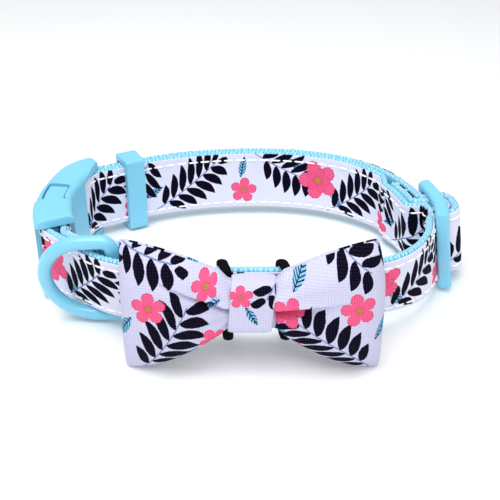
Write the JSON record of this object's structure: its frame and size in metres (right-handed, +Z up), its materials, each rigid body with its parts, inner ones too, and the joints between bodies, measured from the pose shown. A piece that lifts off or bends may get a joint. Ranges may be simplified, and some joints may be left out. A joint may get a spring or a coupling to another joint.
{
  "type": "pet bow tie collar",
  "caption": "Pet collar of ribbon-faced webbing with a side-release buckle, keeper, slider, lead ring and a printed cloth bow tie.",
  "frame": {"origin": "middle of the bounding box in plan, at the plane the collar stands on", "axes": "+Z up, across the strap's width; the bow faces -Y and the buckle is at -X"},
  "size_m": [0.1258, 0.0946, 0.0358],
  "materials": {
    "webbing": "woven nylon webbing, light turquoise",
    "printed_ribbon": "printed polyester ribbon, leaves and flowers on a pale lilac ground",
    "turquoise_plastic": "moulded plastic, satin gloss",
    "coated_ring": "coated steel wire, satin gloss",
    "bow_cloth": "printed plain-weave polyester cloth",
    "elastic": "black woven elastic"
  },
  "bodies": {
    "collar": {"webbing": "webbing", "printed_ribbon": "printed_ribbon", "buckle_female": "turquoise_plastic", "buckle_male": "turquoise_plastic", "keeper": "turquoise_plastic", "slider": "turquoise_plastic", "bow_body": "bow_cloth", "bow_knot": "bow_cloth", "elastic_left": "elastic", "elastic_right": "elastic"},
    "lead_ring": {"d_ring": "coated_ring"}
  },
  "joints": [
    {"name": "ring_swing", "type": "hinge", "parent": "collar", "child": "lead_ring", "pos_m": [-0.0355, -0.02425, 0.01565], "axis": [-0.0933, -0.17, 0.981], "range_deg": [-1, 88]}
  ]
}
